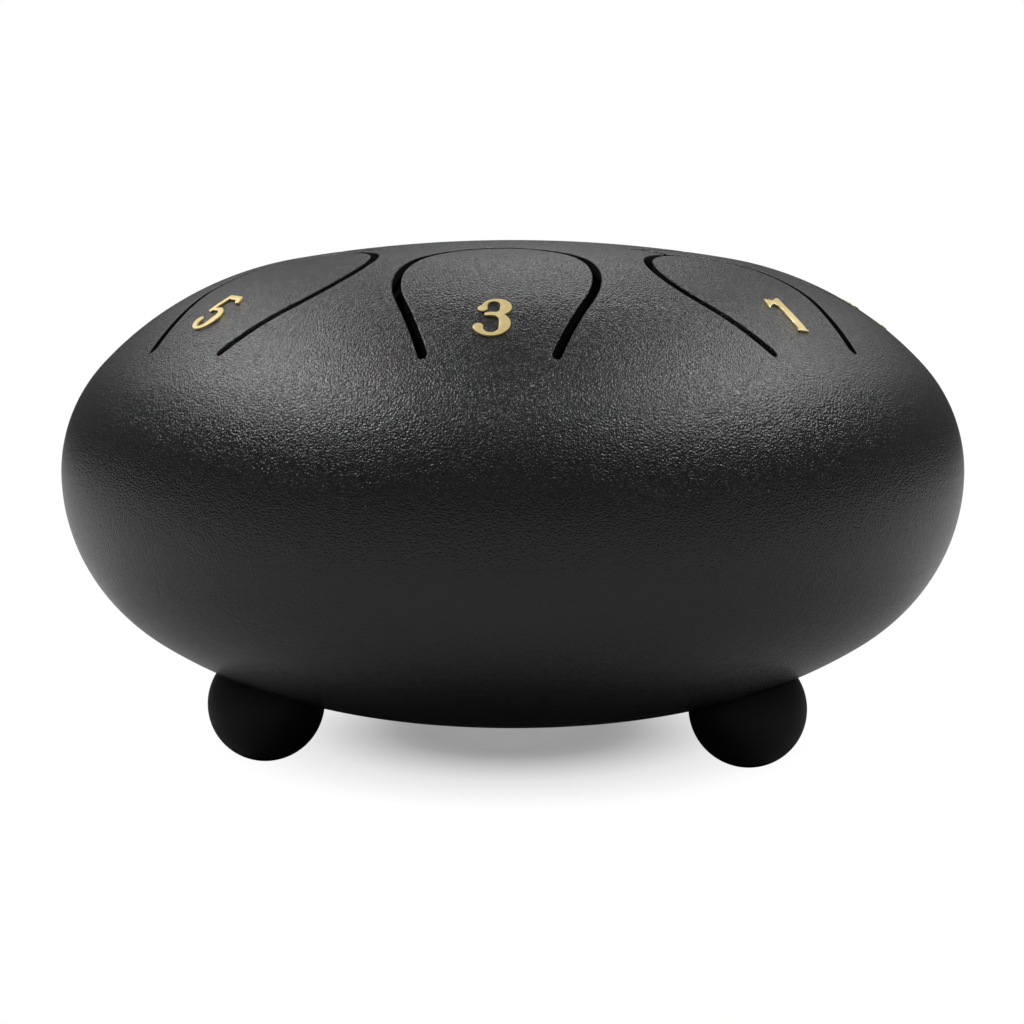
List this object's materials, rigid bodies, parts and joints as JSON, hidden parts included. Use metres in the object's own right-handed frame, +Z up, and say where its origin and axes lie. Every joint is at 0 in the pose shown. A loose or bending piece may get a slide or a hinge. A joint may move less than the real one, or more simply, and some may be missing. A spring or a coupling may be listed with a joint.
{
  "type": "steel tongue drum",
  "caption": "Black steel tongue drum of two welded bowls, with sprung tongues cut in its crown, raised numerals, a sound hole and rubber ball feet.",
  "frame": {"origin": "on the floor under the drum's axis, level with the flats of its feet", "axes": "+Z up along the drum's axis; -Y along tongue 3, towards the player; +X to the player's right"},
  "size_m": [0.15, 0.15, 0.0839],
  "materials": {
    "powder_coated_steel": "textured matt",
    "gold_metal": "satin",
    "black_rubber": "smooth"
  },
  "bodies": {
    "drum": {"upper_shell": "powder_coated_steel", "lower_shell": "powder_coated_steel", "seam_weld": "powder_coated_steel", "foot_front_left": "black_rubber", "foot_front_right": "black_rubber", "foot_rear": "black_rubber"},
    "tongue_1": {"tongue_1": "powder_coated_steel", "numeral_1": "gold_metal"},
    "tongue_2": {"tongue_2": "powder_coated_steel", "numeral_2": "gold_metal"},
    "tongue_3": {"tongue_3": "powder_coated_steel", "numeral_3": "gold_metal"},
    "tongue_4": {"tongue_4": "powder_coated_steel", "numeral_4": "gold_metal"},
    "tongue_5": {"tongue_5": "powder_coated_steel", "numeral_5": "gold_metal"},
    "tongue_6": {"tongue_6": "powder_coated_steel", "numeral_6": "gold_metal"},
    "tongue_7": {"tongue_7": "powder_coated_steel", "numeral_7": "gold_metal"},
    "tongue_8": {"tongue_8": "powder_coated_steel", "numeral_8": "gold_metal"},
    "centre_tongue": {"centre_tongue": "powder_coated_steel"}
  },
  "joints": [
    {"name": "tongue_1_flexure", "type": "hinge", "parent": "drum", "child": "tongue_1", "pos_m": [0.04554, -0.04554, 0.06624], "axis": [-0.7071, -0.7071, 0], "range_deg": [-0.4, 0.4], "stiffness_Nm_per_rad": 30},
    {"name": "tongue_2_flexure", "type": "hinge", "parent": "drum", "child": "tongue_2", "pos_m": [0.0644, 0, 0.06624], "axis": [0, -1, 0], "range_deg": [-0.4, 0.4], "stiffness_Nm_per_rad": 51},
    {"name": "tongue_3_flexure", "type": "hinge", "parent": "drum", "child": "tongue_3", "pos_m": [0, -0.0644, 0.06624], "axis": [-1, 0, 0], "range_deg": [-0.4, 0.4], "stiffness_Nm_per_rad": 92},
    {"name": "tongue_4_flexure", "type": "hinge", "parent": "drum", "child": "tongue_4", "pos_m": [0.04554, 0.04554, 0.06624], "axis": [0.7071, -0.7071, 0], "range_deg": [-0.4, 0.4], "stiffness_Nm_per_rad": 76},
    {"name": "tongue_5_flexure", "type": "hinge", "parent": "drum", "child": "tongue_5", "pos_m": [-0.04554, -0.04554, 0.06624], "axis": [-0.7071, 0.7071, 0], "range_deg": [-0.4, 0.4], "stiffness_Nm_per_rad": 99},
    {"name": "tongue_6_flexure", "type": "hinge", "parent": "drum", "child": "tongue_6", "pos_m": [-0.00253, 0.06435, 0.06624], "axis": [0.9992, 0.0393, 0], "range_deg": [-0.4, 0.4], "stiffness_Nm_per_rad": 120},
    {"name": "tongue_7_flexure", "type": "hinge", "parent": "drum", "child": "tongue_7", "pos_m": [-0.0644, 0, 0.06624], "axis": [0, 1, 0], "range_deg": [-0.4, 0.4], "stiffness_Nm_per_rad": 140},
    {"name": "tongue_8_flexure", "type": "hinge", "parent": "drum", "child": "tongue_8", "pos_m": [-0.04554, 0.04554, 0.06624], "axis": [0.7071, 0.7071, 0], "range_deg": [-0.4, 0.4], "stiffness_Nm_per_rad": 120},
    {"name": "centre_tongue_flexure", "type": "hinge", "parent": "drum", "child": "centre_tongue", "pos_m": [0, -0.02234, 0.08203], "axis": [-1, 0, 0], "range_deg": [-0.4, 0.4], "stiffness_Nm_per_rad": 130}
  ]
}
